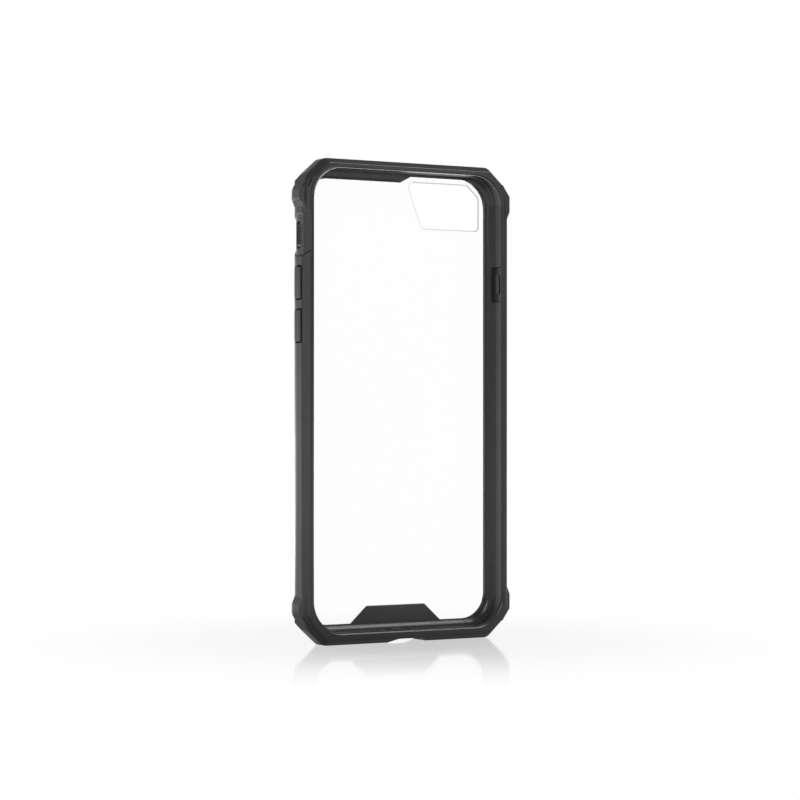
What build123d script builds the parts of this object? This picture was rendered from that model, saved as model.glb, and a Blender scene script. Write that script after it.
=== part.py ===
from build123d import *
from math import sqrt
import os

# Two-part phone case, standing on its bottom edge: X to the right, Y from the screen side (-Y)
# to the back (+Y), Z up.  The origin is the middle of the footprint.  All sizes are in mm.

# ---------------------------------------------------------------- the phone it is made for
phone_width = 67.3
phone_height = 138.4
phone_depth = 7.3
phone_corner_r = 9.5
phone_play = 0.1                # gap between phone and bumper, all round

# ---------------------------------------------------------------- bumper, outside
case_width = 71.6               # over the flat sides
case_height = 144.0
case_depth = 10.4
front_y = -case_depth / 2
back_y = case_depth / 2
side_x = case_width / 2
bevel_in = 1.5                  # front bevel, measured across the front face
bevel_back = 2.5                # front bevel, measured along the side
back_round = 0.7
side_flat_end = 0.4             # Y where the side starts to curve in towards the back
side_curve_in = 2.3             # how far the side has curved in at the back face
side_curve_r = (side_curve_in**2 + (back_y - side_flat_end) ** 2) / (2 * side_curve_in)

# One corner of the front outline, from the end edge to the side: (X, distance from the end)
corner_points = [(28.6, 0.0), (34.2, 5.0), (side_x, 8.6)]
corner_radii = [3.0, 6.0, 4.0]
corner_back_slope = (1.4, 3.6)  # rear edge of a corner's face: in from its outline, forward from its back

# Raised shock pad on each corner
pad_proud = 1.0
pad_top = side_x + pad_proud
pad_points = [
    (32.0, 7.0),
    (33.7, 5.0),
    (pad_top, 9.4),
    (pad_top, 12.4),
    (side_x - 1, 16.7),
    (32.0, 16.7),
]
pad_corner_r = 3.5              # rounding of the pad's two outer corners
pad_front = 1.1                 # set back from the front face
pad_back = 1.5                  # set forward from the back face
pad_chamfer = 0.5
pad_back_slope = (0.9, 1.8)     # rear edge of a pad: in from its outline, forward from its back

# ---------------------------------------------------------------- bumper, inside
lip_thick = 1.4                 # lip that stands in front of the screen
lip_side = 3.1                  # lip width, from the outside of the case to its free edge
lip_top = 2.85
lip_bottom = 3.9
lip_corner_r = 9.5
lip_edge_r = 1.0                # rounding of the lip's free edge
space_bottom = 3.2              # Z of the phone's lower edge
space_front_r = 1.2
space_back_r = 2.6
space_half = phone_width / 2 + phone_play
space_front_y = front_y + lip_thick
space_back_y = space_front_y + phone_depth + phone_play
space_top = space_bottom + phone_height + 2 * phone_play

# Flange behind the phone, and the trapezium tab on its lower edge
flange_thick = 1.0
flange_back_y = space_back_y + flange_thick
flange_x = side_x - 4.05
flange_bottom = 5.6
flange_top_left = case_height - 5.4
flange_top_right = case_height - 3.55
step_x = (1.5, 5.0)
tab_base = 31.2
tab_tip = 20.0
tab_height = 5.1
flange_corner_r = 8.0
flange_top_right_r = 9.0
flange_small_r = 0.8            # at the step and round the tab

# ---------------------------------------------------------------- back panel
rim_half = 32.5
rim_bottom = 3.5
rim_top = case_height - 2.6
rim_corner_r = 8.6
camera_points = [(3.9, 138.8), (9.1, 125.0), (29.3, 125.0), (29.3, 135.1), (25.2, 138.8)]
camera_radii = [1.6, 1.6, 1.3, 1.2, 1.0]
camera_chamfer = 0.7            # round the opening, on the back face

# ---------------------------------------------------------------- side controls
button_y = -0.3                 # middle of each button across the case
button_width = 4.0
button_proud = 0.45
button_end_chamfer = 0.4
button_gap = 0.12
window_corner_r = 0.5
keeper_overlap = 0.6            # keeper plate, past the cap on every side
keeper_thick = 0.55
keeper_gap = 0.1
pocket_floor = side_x - 1.05    # X of the bottom of the keeper's pocket
seat_gap = 0.05
nub_width = 1.8
nub_length = 6.0
nub_height = 0.3
volume_up_z = 107.1
volume_down_z = 94.4
volume_length = 9.8
power_z = 108.4
power_length = 9.2

mute_z = 121.2
mute_scoop_length = 11.9
mute_scoop_deep = 0.55
mute_slot_length = 8.0
mute_slot_width = 4.2
mute_slot_corner_r = 1.6
mute_slot_y = 0.3

# ---------------------------------------------------------------- bottom edge
port_recess_base = 13.4
port_recess_flat = 7.3
port_recess_deep = 1.1
port_width = 12.0
port_depth = 5.2
sound_slot_x = 17.5
sound_slot_length = 13.0
sound_slot_width = 1.8
middle_y = (space_front_y + space_back_y) / 2

beyond = 3.0                    # how far cutting shapes run past the faces they cut


def at_depth(y):
    """Front-view plane at depth y: its x is X and its y is Z."""
    return Plane.XZ.offset(-y)


def all_corners(points):
    """Points of a closed outline from the points of one corner, counter-clockwise from lower right."""
    upper = [(x, case_height - d) for x, d in reversed(points)]
    right = points + upper
    left = [(-x, z) for x, z in reversed(right)]
    return right + left


def rounded_outline(plane, points, radii):
    """Face inside a closed outline with rounded corners."""
    with BuildSketch(plane) as outline:
        with BuildLine():
            FilletPolyline(*points, radius=radii, close=True)
        make_face()
    return outline.sketch


def outside_of_side(plane, x_side, side):
    """Region outside the horizontal section of a side wall, on the left (-1) or right (+1)."""
    arc_x = x_side - side_curve_r
    back_x = arc_x + sqrt(side_curve_r**2 - (back_y - side_flat_end) ** 2)
    half_turn = side_curve_r * sqrt(0.5)
    with BuildSketch(plane) as region:
        with BuildLine():
            ThreePointArc(
                (side * x_side, side_flat_end),
                (side * (arc_x + half_turn), side_flat_end + half_turn),
                (side * back_x, back_y),
            )
            Polyline(
                (side * back_x, back_y),
                (side * (x_side + beyond), back_y + beyond),
                (side * (x_side + beyond), front_y - beyond),
                (side * (x_side - bevel_in), front_y - beyond),
                (side * (x_side - bevel_in), front_y),
                (side * x_side, front_y + bevel_back),
                (side * x_side, side_flat_end),
            )
        make_face()
    return region.sketch


def cut_corner_slope(side, top):
    """Slope the rear edge of one corner's slanting face."""
    (x_end, d_end), (x_side, d_side) = corner_points[:2]
    length = sqrt((x_side - x_end) ** 2 + (d_side - d_end) ** 2)
    out_x = side * (d_side - d_end) / length
    out_z = (x_side - x_end) / length * (1 if top else -1)
    mid_d = (d_end + d_side) / 2
    mid = (side * (x_end + x_side) / 2, back_y, case_height - mid_d if top else mid_d)
    inward, forward = corner_back_slope
    with BuildSketch(Plane(origin=mid, x_dir=(out_x, 0, out_z), z_dir=(out_z, 0, -out_x))) as wedge:
        with BuildLine():
            Polyline(
                (-2 * inward, -forward),
                (0, forward),
                (inward, forward),
                (inward, -forward),
                close=True,
            )
        make_face()
    extrude(wedge.sketch, amount=length, both=True, mode=Mode.SUBTRACT)


def flange_hole(y):
    """Opening inside the flange, at depth y."""
    big = flange_corner_r
    small = flange_small_r
    points = [
        (-flange_x, flange_bottom),
        (-tab_base / 2, flange_bottom),
        (-tab_tip / 2, flange_bottom + tab_height),
        (tab_tip / 2, flange_bottom + tab_height),
        (tab_base / 2, flange_bottom),
        (flange_x, flange_bottom),
        (flange_x, flange_top_right),
        (step_x[1], flange_top_right),
        (step_x[0], flange_top_left),
        (-flange_x, flange_top_left),
    ]
    radii = [big, small, small, small, small, big, flange_top_right_r, small, small, big]
    return rounded_outline(at_depth(y), points, radii)


def cut_button_opening(side, z_mid, length):
    """Window for a button cap, and the pocket behind it for the cap's keeper plate."""
    with BuildSketch(Plane.YZ.offset(side * side_x)) as window:
        with Locations((button_y, z_mid)):
            RectangleRounded(button_width + 2 * button_gap, length + 2 * button_gap, window_corner_r)
    extrude(window.sketch, amount=beyond, both=True, mode=Mode.SUBTRACT)
    pocket_edge = keeper_overlap + keeper_gap
    with BuildSketch(Plane.YZ.offset(side * pocket_floor)) as pocket:
        with Locations((button_y, z_mid)):
            Rectangle(button_width + 2 * pocket_edge, length + 2 * pocket_edge)
    extrude(pocket.sketch, amount=-side * beyond, mode=Mode.SUBTRACT)


# ================================================================ space for the phone
with BuildPart() as phone_space:
    with BuildSketch(at_depth(space_front_y)):
        with Locations((0, (space_bottom + space_top) / 2)):
            RectangleRounded(2 * space_half, space_top - space_bottom, phone_corner_r)
    extrude(amount=-(space_back_y - space_front_y))
    fillet(phone_space.faces().sort_by(Axis.Y)[-1].edges(), space_back_r)
    fillet(phone_space.faces().sort_by(Axis.Y)[0].edges(), space_front_r)

# ================================================================ shock pads
with BuildPart() as pads:
    pad_depth = case_depth - pad_front - pad_back
    with BuildSketch(at_depth(front_y + pad_front)) as pads_outline:
        for side in (-1, 1):
            for top in (False, True):
                outline = [(side * x, case_height - d if top else d) for x, d in pad_points]
                with BuildLine():
                    Polyline(*outline, close=True)
                make_face()
        fillet(pads_outline.vertices().filter_by(lambda v: abs(v.X) > side_x), pad_corner_r)
    extrude(amount=-pad_depth)
    pad_faces = pads.faces().filter_by(Axis.Y).group_by(Axis.Y)
    for face in pad_faces[-1]:
        chamfer(face.edges(), length=pad_back_slope[0], length2=pad_back_slope[1], reference=face)
    chamfer(pads.faces().filter_by(Axis.Y).group_by(Axis.Y)[0].edges(), pad_chamfer)
    for side in (-1, 1):
        extrude(outside_of_side(Plane.XY, pad_top, side), amount=case_height, mode=Mode.SUBTRACT)

# ================================================================ scoop round the mute switch
with BuildPart() as mute_scoop:
    below = Plane.XY.offset(mute_z - mute_scoop_length)
    extrude(outside_of_side(below, side_x - mute_scoop_deep, -1), amount=2 * mute_scoop_length)
    floor_x = side_x - mute_scoop_deep
    half = mute_scoop_length / 2
    with BuildSketch(at_depth(back_y + beyond)):
        with BuildLine():
            Polyline(
                (-floor_x + beyond, mute_z - half + beyond),
                (-floor_x + beyond, mute_z + half - beyond),
                (-floor_x - beyond, mute_z + half + beyond),
                (-floor_x - beyond, mute_z - half - beyond),
                close=True,
            )
        make_face()
    extrude(amount=case_depth + 2 * beyond, mode=Mode.INTERSECT)

# ================================================================ bumper
with BuildPart() as bumper:
    all_radii = (corner_radii + corner_radii[::-1]) * 2
    extrude(rounded_outline(at_depth(front_y), all_corners(corner_points), all_radii), amount=-case_depth)
    front_face = bumper.faces().sort_by(Axis.Y)[0]
    chamfer(front_face.edges(), length=bevel_in, length2=bevel_back, reference=front_face)
    fillet(bumper.faces().sort_by(Axis.Y)[-1].edges(), back_round)
    for side in (-1, 1):
        extrude(outside_of_side(Plane.XY, side_x, side), amount=case_height, mode=Mode.SUBTRACT)
        cut_corner_slope(side, top=False)
        cut_corner_slope(side, top=True)
    add(pads.part)
    add(phone_space.part, mode=Mode.SUBTRACT)

    # screen opening, leaving the lip
    screen_top = case_height - lip_top
    with BuildSketch(at_depth(front_y)):
        with Locations((0, (lip_bottom + screen_top) / 2)):
            RectangleRounded(2 * (side_x - lip_side), screen_top - lip_bottom, lip_corner_r)
    extrude(amount=-(lip_thick + space_front_r), mode=Mode.SUBTRACT)
    fillet(bumper.faces().sort_by(Axis.Y)[0].inner_wires()[0].edges(), lip_edge_r)

    # opening inside the flange, with the step beside the camera and the tab at the bottom
    extrude(flange_hole(space_back_y - space_back_r), amount=-(space_back_r + beyond), mode=Mode.SUBTRACT)

    # rebate in the back face for the rim of the panel
    with BuildSketch(at_depth(back_y)) as rim_outline:
        with Locations((0, (rim_bottom + rim_top) / 2)):
            RectangleRounded(2 * rim_half, rim_top - rim_bottom, rim_corner_r)
    extrude(amount=back_y - flange_back_y, mode=Mode.SUBTRACT)

    # mute switch: shallow scoop with a slot through it
    add(mute_scoop.part, mode=Mode.SUBTRACT)
    with BuildSketch(Plane.YZ.offset(-side_x)):
        with Locations((mute_slot_y, mute_z)):
            RectangleRounded(mute_slot_width, mute_slot_length, mute_slot_corner_r)
    extrude(amount=beyond, both=True, mode=Mode.SUBTRACT)

    cut_button_opening(-1, volume_up_z, volume_length)
    cut_button_opening(-1, volume_down_z, volume_length)
    cut_button_opening(1, power_z, power_length)

    # bottom edge: plug clearance, charging port and sound slots
    with BuildSketch(at_depth(back_y + beyond)):
        with BuildLine():
            Polyline(
                (-port_recess_base / 2, 0),
                (port_recess_base / 2, 0),
                (port_recess_flat / 2, port_recess_deep),
                (-port_recess_flat / 2, port_recess_deep),
                close=True,
            )
        make_face()
    extrude(amount=case_depth + 2 * beyond, mode=Mode.SUBTRACT)
    with BuildSketch(Plane.XY):
        with Locations((0, middle_y)):
            SlotOverall(port_width, port_depth)
        with Locations((-sound_slot_x, middle_y), (sound_slot_x, middle_y)):
            SlotOverall(sound_slot_length, sound_slot_width)
    extrude(amount=space_bottom + beyond, mode=Mode.SUBTRACT)

# ================================================================ back panel
with BuildPart() as back_panel:
    extrude(rim_outline.sketch, amount=back_y - flange_back_y)
    extrude(flange_hole(space_back_y), amount=-flange_thick)
    camera_hole = rounded_outline(at_depth(space_back_y), camera_points, camera_radii)
    extrude(camera_hole, amount=-(back_y - space_back_y), mode=Mode.SUBTRACT)
    chamfer(back_panel.faces().sort_by(Axis.Y)[-1].inner_wires()[0].edges(), camera_chamfer)


# ================================================================ button caps
def make_button(name, side, z_mid, length):
    """Cap whose face follows the wall, with a keeper plate inside and a nub for the phone's key."""
    cap_x = side_x + button_proud
    arc_x = side_x - side_curve_r
    cap_r = side_curve_r + button_proud
    half = button_width / 2
    y_low = button_y - half
    y_high = button_y + half
    x_high = arc_x + sqrt(cap_r**2 - (y_high - side_flat_end) ** 2)
    y_mid = (side_flat_end + y_high) / 2
    x_mid = arc_x + sqrt(cap_r**2 - (y_mid - side_flat_end) ** 2)
    keeper_x = pocket_floor - seat_gap
    with BuildPart() as button:
        with BuildSketch(Plane.XY.offset(z_mid - length / 2)):
            with BuildLine():
                ThreePointArc((side * cap_x, side_flat_end), (side * x_mid, y_mid), (side * x_high, y_high))
                Polyline(
                    (side * x_high, y_high),
                    (side * keeper_x, y_high),
                    (side * keeper_x, y_low),
                    (side * cap_x, y_low),
                    (side * cap_x, side_flat_end),
                )
            make_face()
        extrude(amount=length)
        outer = button.edges().filter_by(lambda e: side * e.center().X > pocket_floor)
        cap_ends = outer.filter_by(lambda e: abs(e.center().Z - z_mid) > length / 2 - 0.01)
        chamfer(cap_ends, button_end_chamfer)
        with BuildSketch(Plane.YZ.offset(side * keeper_x)):
            with Locations((button_y, z_mid)):
                Rectangle(button_width + 2 * keeper_overlap, length + 2 * keeper_overlap)
        extrude(amount=-side * keeper_thick)
        with BuildSketch(Plane.YZ.offset(side * (keeper_x - keeper_thick))):
            with Locations((button_y, z_mid)):
                SlotOverall(nub_length, nub_width, rotation=90)
        extrude(amount=-side * nub_height)
    button.part.label = name
    return button.part


parts = [
    make_button("volume_up_button", -1, volume_up_z, volume_length),
    make_button("volume_down_button", -1, volume_down_z, volume_length),
    make_button("power_button", 1, power_z, power_length),
]
bumper.part.label = "bumper"
back_panel.part.label = "back_panel"
parts += [bumper.part, back_panel.part]

os.makedirs("parts", exist_ok=True)
for part in parts:
    export_step(part, f"parts/{part.label}.step")
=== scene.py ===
"""Looks for a bumper phone case that stands on its edge.  Units are metres, in the CAD frame."""
import math

import bmesh
import bpy
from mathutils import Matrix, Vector


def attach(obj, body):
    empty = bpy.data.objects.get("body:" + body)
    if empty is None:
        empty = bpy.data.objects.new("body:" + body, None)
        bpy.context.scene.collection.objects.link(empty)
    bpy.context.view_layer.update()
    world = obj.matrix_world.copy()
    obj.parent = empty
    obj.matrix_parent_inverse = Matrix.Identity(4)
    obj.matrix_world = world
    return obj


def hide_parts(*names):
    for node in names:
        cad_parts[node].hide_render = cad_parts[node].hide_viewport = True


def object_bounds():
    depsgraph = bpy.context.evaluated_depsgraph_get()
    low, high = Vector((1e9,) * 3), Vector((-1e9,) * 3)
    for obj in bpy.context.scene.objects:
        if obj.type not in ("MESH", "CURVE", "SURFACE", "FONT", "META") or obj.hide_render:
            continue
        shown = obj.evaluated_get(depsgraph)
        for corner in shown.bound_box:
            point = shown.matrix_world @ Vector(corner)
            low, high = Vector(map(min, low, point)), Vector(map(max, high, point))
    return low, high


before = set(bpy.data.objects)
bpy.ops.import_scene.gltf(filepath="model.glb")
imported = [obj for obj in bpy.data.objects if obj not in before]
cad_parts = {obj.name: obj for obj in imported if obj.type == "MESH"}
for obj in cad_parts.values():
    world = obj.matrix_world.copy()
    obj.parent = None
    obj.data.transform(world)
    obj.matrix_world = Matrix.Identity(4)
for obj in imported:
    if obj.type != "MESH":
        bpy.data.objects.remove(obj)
cad_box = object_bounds()

MM = 0.001
WHITE = (1, 1, 1, 1)


# ---------------------------------------------------------------- materials
def new_material(name):
    """An empty node material: the material, its node tree and its output node."""
    material = bpy.data.materials.new(name)
    material.use_nodes = True
    tree = material.node_tree
    tree.nodes.clear()
    output = tree.nodes.new("ShaderNodeOutputMaterial")
    return material, tree, output


def noise(tree, coords, scale, detail, roughness=0.5):
    node = tree.nodes.new("ShaderNodeTexNoise")
    node.inputs["Scale"].default_value = scale
    node.inputs["Detail"].default_value = detail
    node.inputs["Roughness"].default_value = roughness
    tree.links.new(coords, node.inputs["Vector"])
    return node.outputs["Fac"]


def ramp(tree, value, low, high, at=(0.3, 0.7)):
    """Map a value to a range of greys or to two colours."""
    node = tree.nodes.new("ShaderNodeValToRGB")
    for element, position, colour in zip(node.color_ramp.elements, at, (low, high)):
        element.position = position
        rgb = colour if isinstance(colour, tuple) else (colour, colour, colour)
        element.color = (*rgb, 1)
    tree.links.new(value, node.inputs["Fac"])
    return node.outputs["Color"]


def map_range(tree, value, from_range, to_range, interpolation="SMOOTHSTEP"):
    """Map a value smoothly from one range to another, clamped at both ends."""
    node = tree.nodes.new("ShaderNodeMapRange")
    node.interpolation_type = interpolation
    node.inputs["From Min"].default_value, node.inputs["From Max"].default_value = from_range
    node.inputs["To Min"].default_value, node.inputs["To Max"].default_value = to_range
    tree.links.new(value, node.inputs["Value"])
    return node.outputs["Result"]


def along(tree, vector, axis):
    """How far a vector reaches along an axis."""
    node = tree.nodes.new("ShaderNodeVectorMath")
    node.operation = "DOT_PRODUCT"
    node.inputs[1].default_value = axis
    tree.links.new(vector, node.inputs[0])
    return node.outputs["Value"]


CLOUD_SCALE, GRAIN_SCALE, WEAR_SCALE = 55, 4200, 140
CLOUD_SPREAD = 0.12
SATIN_ROUGHNESS = (0.2, 0.28)
GRAIN_STRENGTH = 0.12
GRAIN_DEPTH = 0.02 * MM


def tpu_material(name, tone):
    """Satin moulded urethane: fine spark grain, slight cloudiness and faint handling marks."""
    material, tree, output = new_material(name)
    links = tree.links
    shader = tree.nodes.new("ShaderNodeBsdfPrincipled")
    coords = tree.nodes.new("ShaderNodeTexCoord").outputs["Object"]
    cloud = noise(tree, coords, CLOUD_SCALE, 4)
    grain = noise(tree, coords, GRAIN_SCALE, 3, 0.6)
    wear = noise(tree, coords, WEAR_SCALE, 5)
    dark = tuple(c * (1 - CLOUD_SPREAD) for c in tone)
    light = tuple(c * (1 + CLOUD_SPREAD) for c in tone)
    links.new(ramp(tree, cloud, dark, light), shader.inputs["Base Color"])
    links.new(ramp(tree, wear, *SATIN_ROUGHNESS), shader.inputs["Roughness"])
    bump = tree.nodes.new("ShaderNodeBump")
    bump.inputs["Strength"].default_value = GRAIN_STRENGTH
    bump.inputs["Distance"].default_value = GRAIN_DEPTH
    links.new(grain, bump.inputs["Height"])
    links.new(bump.outputs["Normal"], shader.inputs["Normal"])
    shader.inputs["IOR"].default_value = 1.5
    links.new(shader.outputs["BSDF"], output.inputs["Surface"])
    return material


def clear_material(name, tone, alpha):
    """Hard clear polycarbonate, as a thin sheet that lets light through."""
    material, tree, output = new_material(name)
    shader = tree.nodes.new("ShaderNodeBsdfPrincipled")
    shader.inputs["Base Color"].default_value = (*tone, 1)
    shader.inputs["Roughness"].default_value = 0.06
    shader.inputs["Alpha"].default_value = alpha
    tree.links.new(shader.outputs["BSDF"], output.inputs["Surface"])
    return material


bumper_tpu = tpu_material("tpu_charcoal", (0.032, 0.032, 0.034))
button_tpu = tpu_material("tpu_button", (0.034, 0.034, 0.036))
clear_pc = clear_material("clear_polycarbonate", (0.97, 0.98, 0.99), 0.015)
# the cut edge's grey is painted shade: it stands in for the darkening that refraction and internal
# reflection give a polished edge of clear plastic
clear_edge_painted_shade = clear_material("clear_polycarbonate_cut_painted_shade", (0.16, 0.17, 0.18), 0.5)

for name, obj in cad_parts.items():
    material = {"bumper": bumper_tpu, "back_panel": clear_pc}.get(name, button_tpu)
    for slot in obj.material_slots:
        slot.material = material


# ---------------------------------------------------------------- mesh copies
WELD = 0.001 * MM
CUT = 0.0001 * MM
ON_SEAM = 0.0005 * MM
FLAT = math.radians(1)


def clean_copy(node, name, seams):
    """A copy of a CAD node's mesh and its bmesh, with each flat face made of as few as can be.

    The seams, each an axis and a place on it, are cut first and stay, so that no merged face goes
    all the way round a hole.
    """
    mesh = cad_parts[node].data.copy()
    mesh.name = name
    cleaned = bmesh.new()
    cleaned.from_mesh(mesh)
    bmesh.ops.remove_doubles(cleaned, verts=cleaned.verts, dist=WELD)
    for axis, place in seams:
        normal = [0, 0, 0]
        normal[axis] = 1
        point = [place * n for n in normal]
        everything = cleaned.verts[:] + cleaned.edges[:] + cleaned.faces[:]
        bmesh.ops.bisect_plane(
            cleaned, geom=everything, plane_co=point, plane_no=normal, dist=CUT)
    on_seam = {v for v in cleaned.verts if any(abs(v.co[a] - p) < ON_SEAM for a, p in seams)}
    free_verts = [v for v in cleaned.verts if v not in on_seam]
    free_edges = [e for e in cleaned.edges if not on_seam.issuperset(e.verts)]
    bmesh.ops.dissolve_limit(cleaned, angle_limit=FLAT, verts=free_verts, edges=free_edges)
    return mesh, cleaned


def stand_in(name, mesh, body, node):
    """A piece that rides a body in place of a CAD node."""
    piece = bpy.data.objects.new(name, mesh)
    bpy.context.scene.collection.objects.link(piece)
    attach(piece, body)
    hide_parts(node)
    return piece


# ---------------------------------------------------------------- moulded edges
SEAMS = ((0, 0.0), (1, -0.2 * MM))
MOULDED_EDGE = math.radians(24)
BUMPER_RADIUS = 0.22 * MM
CAP_RADIUS = 0.35 * MM
PAD_REACH = 17.5 * MM
PAD_INNER_X = 31.5 * MM
PAD_FRONT_Y = -4.6 * MM
PAD_SHARE = 0.3
WALL_INNER_X = 35 * MM


def by_a_pad(point):
    """Whether a point is on or beside a shock pad, where faces are too narrow for a full radius."""
    from_end = min(point.z, cad_box[1][2] - point.z)
    return abs(point.x) > PAD_INNER_X and from_end < PAD_REACH and point.y > PAD_FRONT_Y


def inside_wall(point):
    """Whether a point of a button is inside the wall."""
    return abs(point.x) < WALL_INNER_X


def softened(node, body, name, radius, material, is_fine, fine_share):
    """The CAD node's shape with the small edge radius that moulding leaves, as a new piece.

    Edges in the fine places get only fine_share of the radius.
    """
    mesh, cleaned = clean_copy(node, name, SEAMS)
    weight = cleaned.edges.layers.float.new("bevel_weight_edge")
    for edge in cleaned.edges:
        if edge.calc_face_angle(0) > MOULDED_EDGE:
            fine = all(is_fine(v.co) for v in edge.verts)
            edge[weight] = fine_share if fine else 1.0
            edge.smooth = edge[weight] > 0
    cleaned.to_mesh(mesh)
    cleaned.free()
    piece = stand_in(name, mesh, body, node)
    bevel = piece.modifiers.new("moulded_edges", "BEVEL")
    bevel.limit_method = "WEIGHT"
    bevel.width = radius
    bevel.segments = 3
    bevel.use_clamp_overlap = False
    normals = piece.modifiers.new("normals", "WEIGHTED_NORMAL")
    normals.keep_sharp = True
    normals.weight = 100
    mesh.materials.clear()
    mesh.materials.append(material)
    mesh.polygons.foreach_set("use_smooth", [True] * len(mesh.polygons))
    if "custom_normal" in mesh.attributes:
        mesh.attributes.remove(mesh.attributes["custom_normal"])


softened("bumper", "case", "soft_bumper_shell",
         BUMPER_RADIUS, bumper_tpu, by_a_pad, PAD_SHARE)
for body in ("volume_up", "volume_down", "power"):
    node = body + "_button"
    softened(node, body, node + "_cap", CAP_RADIUS, button_tpu, inside_wall, 0)

# ---------------------------------------------------------------- clear panel
PANEL_SEAM_X = 17 * MM
CAMERA_LOW = (2 * MM, 120 * MM)
CAMERA_HIGH = (31 * MM, 139.3 * MM)
CAMERA_RIM = 0.3 * MM
SHARP_EDGE = math.radians(60)


def around_camera(edge, front_y):
    """Whether an edge of the panel is on the front rim of the camera opening."""
    middle = (edge.verts[0].co + edge.verts[1].co) / 2
    across = CAMERA_LOW[0] < middle.x < CAMERA_HIGH[0]
    upward = CAMERA_LOW[1] < middle.z < CAMERA_HIGH[1]
    at_front = all(abs(v.co.y - front_y) < WELD for v in edge.verts)
    return across and upward and at_front and edge.calc_face_angle(0) > SHARP_EDGE


def fine_edged_panel(name):
    """The clear panel, with a fine polished edge round the front of its camera opening, in a grey
    that paints the shade such an edge takes from refraction.
    """
    mesh, panel = clean_copy("back_panel", name, ((0, PANEL_SEAM_X),))
    front_y = min(v.co.y for v in panel.verts)
    rim = [e for e in panel.edges if around_camera(e, front_y)]
    ends = {v for e in rim for v in e.verts}
    # the rim faces get the grey material, which paints the shade of the polished cut edge
    bmesh.ops.bevel(panel, geom=rim + list(ends), offset=CAMERA_RIM, segments=2, profile=0.5,
                    affect="EDGES", material=1)
    # the slots come before to_mesh, because clearing them afterwards would reset every face's slot
    mesh.materials.clear()
    mesh.materials.append(clear_pc)
    mesh.materials.append(clear_edge_painted_shade)
    panel.to_mesh(mesh)
    panel.free()
    stand_in(name, mesh, "case", "back_panel")


fine_edged_panel("clear_panel_sheet")

# ---------------------------------------------------------------- floor
FLOOR_SIZE = 30
# levels and reach of the painted contact shadow and the painted bright patch that reflections see
# in the floor
NEAR_FLOOR, FAR_FLOOR = 0.02, 0.15
DIFFUSE_LEVEL = 0.4
PAINTED_CONTACT_SHADOW_LEVELS = (0.3, 1.0)
FAR_SIDE = (0.86, 0.5, 0)
FAR_SIDE_RANGE = (0.05, 0.3)
PAINTED_BRIGHT_PATCH_BOOST = 2.0
GLOSS_SHARE = 0.42
GLOSS_ROUGHNESS = 0.07

bpy.ops.mesh.primitive_grid_add(
    x_subdivisions=2, y_subdivisions=2, size=FLOOR_SIZE, location=(0, 0, 0))
floor = bpy.context.object
floor.name = "floor"
material, tree, output = new_material("floor_gloss_white")
links = tree.links
place = tree.nodes.new("ShaderNodeTexCoord").outputs["Object"]
length = tree.nodes.new("ShaderNodeVectorMath")
length.operation = "LENGTH"
links.new(place, length.inputs[0])
distance = length.outputs["Value"]

# what the object reflects of the floor: a painted contact shadow that dims it close to the object,
# and a painted bright patch on its far side
painted_contact_shadow = map_range(tree, distance, (NEAR_FLOOR, FAR_FLOOR), PAINTED_CONTACT_SHADOW_LEVELS)
painted_bright_patch = map_range(tree, along(tree, place, FAR_SIDE), FAR_SIDE_RANGE, (0.0, PAINTED_BRIGHT_PATCH_BOOST))
reflected = tree.nodes.new("ShaderNodeMath")
reflected.operation = "ADD"
links.new(painted_contact_shadow, reflected.inputs[0])
links.new(painted_bright_patch, reflected.inputs[1])

# the camera sees an even white, and diffuse rays get a dimmer floor
paths = tree.nodes.new("ShaderNodeLightPath")
indirect = tree.nodes.new("ShaderNodeMix")
indirect.inputs["A"].default_value = DIFFUSE_LEVEL
links.new(paths.outputs["Is Glossy Ray"], indirect.inputs["Factor"])
links.new(reflected.outputs["Value"], indirect.inputs["B"])
strength = tree.nodes.new("ShaderNodeMix")
strength.inputs["B"].default_value = 1.0
links.new(paths.outputs["Is Camera Ray"], strength.inputs["Factor"])
links.new(indirect.outputs["Result"], strength.inputs["A"])
glow = tree.nodes.new("ShaderNodeEmission")
glow.inputs["Color"].default_value = WHITE
links.new(strength.outputs["Result"], glow.inputs["Strength"])

# the gloss that shows the object's reflection fades out round it
gloss = tree.nodes.new("ShaderNodeBsdfGlossy")
gloss.inputs["Color"].default_value = WHITE
gloss.inputs["Roughness"].default_value = GLOSS_ROUGHNESS
mix = tree.nodes.new("ShaderNodeMixShader")
fade = map_range(tree, distance, (0.0, FAR_FLOOR), (GLOSS_SHARE, 0.0), "SMOOTHERSTEP")
links.new(fade, mix.inputs["Fac"])
links.new(glow.outputs["Emission"], mix.inputs[1])
links.new(gloss.outputs["BSDF"], mix.inputs[2])
links.new(mix.outputs["Shader"], output.inputs["Surface"])
floor.data.materials.append(material)

# ---------------------------------------------------------------- camera
YAW = math.radians(30.60)
DISTANCE = 0.7351
SIDE_STEP = -0.0007
EYE_Z = 0.0668
FRAME_SIDE = 800
FOCAL_LENGTH = 2436.6
CENTRE_SHIFT = 19.47
SENSOR = 36

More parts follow.
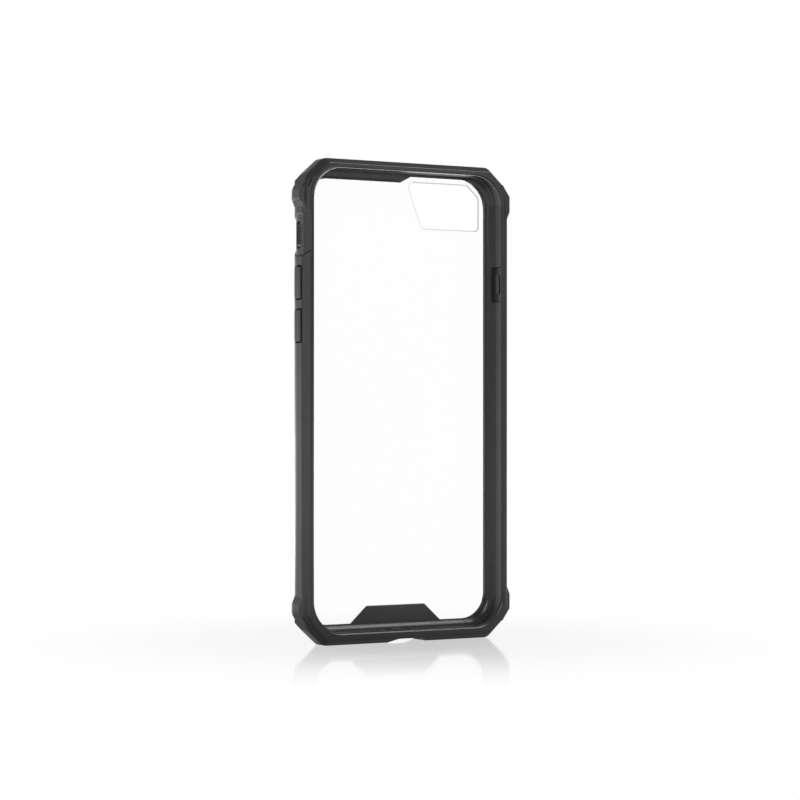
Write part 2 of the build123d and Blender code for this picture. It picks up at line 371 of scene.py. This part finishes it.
back = Vector((-math.sin(YAW), -math.cos(YAW), 0))
right = Vector((math.cos(YAW), -math.sin(YAW), 0))
camera = bpy.data.objects.new("camera", bpy.data.cameras.new("camera"))
bpy.context.scene.collection.objects.link(camera)
camera.location = back * DISTANCE + right * SIDE_STEP + Vector((0, 0, EYE_Z))
camera.rotation_euler = (math.pi / 2, 0, -YAW)
camera.data.sensor_width = SENSOR
camera.data.lens = FOCAL_LENGTH / FRAME_SIDE * SENSOR
camera.data.shift_y = CENTRE_SHIFT / FRAME_SIDE
camera.data.clip_start = 0.01
camera.data.clip_end = 50
bpy.context.scene.camera = camera

# ---------------------------------------------------------------- light
BRIGHT_SIDE = (0, 1, -1.2)
BRIGHT_RANGE = (0.2, 0.65)
ROOM_LEVELS = (0.25, 1.0)
CENTRE = Vector((0, 0, 0.072))

scene = bpy.context.scene
scene.view_settings.view_transform = "Standard"
world = bpy.data.worlds.new("studio")
scene.world = world
world.use_nodes = True
tree = world.node_tree
tree.nodes.clear()
links = tree.links
output = tree.nodes.new("ShaderNodeOutputWorld")
seen = tree.nodes.new("ShaderNodeBackground")
seen.inputs["Color"].default_value = WHITE
room = tree.nodes.new("ShaderNodeBackground")
direction = tree.nodes.new("ShaderNodeTexCoord").outputs["Generated"]
level = map_range(tree, along(tree, direction, BRIGHT_SIDE), BRIGHT_RANGE, ROOM_LEVELS)
links.new(level, room.inputs["Strength"])
paths = tree.nodes.new("ShaderNodeLightPath")
mix = tree.nodes.new("ShaderNodeMixShader")
links.new(paths.outputs["Is Camera Ray"], mix.inputs["Fac"])
links.new(room.outputs["Background"], mix.inputs[1])
links.new(seen.outputs["Background"], mix.inputs[2])
links.new(mix.outputs["Shader"], output.inputs["Surface"])

# the floor glows by itself, so the lights leave it out
lit_by_softboxes = bpy.data.collections.new("all_but_floor")
lit_by_softboxes.objects.link(floor)
lit_by_softboxes.collection_objects[0].light_linking.link_state = "EXCLUDE"


def softbox(name, place, size, power):
    """A rectangular area light at place, facing the middle of the case."""
    data = bpy.data.lights.new(name, "AREA")
    data.shape = "RECTANGLE"
    data.size, data.size_y = size
    data.energy = power
    light = bpy.data.objects.new(name, data)
    light.location = place
    light.rotation_euler = (CENTRE - Vector(place)).to_track_quat("-Z", "Y").to_euler()
    light.light_linking.receiver_collection = lit_by_softboxes
    bpy.context.scene.collection.objects.link(light)


softbox("key", (-0.5, -0.7, 0.5), (0.5, 0.5), 2.5)
softbox("left", (-0.8, -0.05, 0.12), (0.4, 0.7), 0.7)
softbox("overhead", (0.34, -0.4, 0.5), (0.25, 0.5), 2.0)
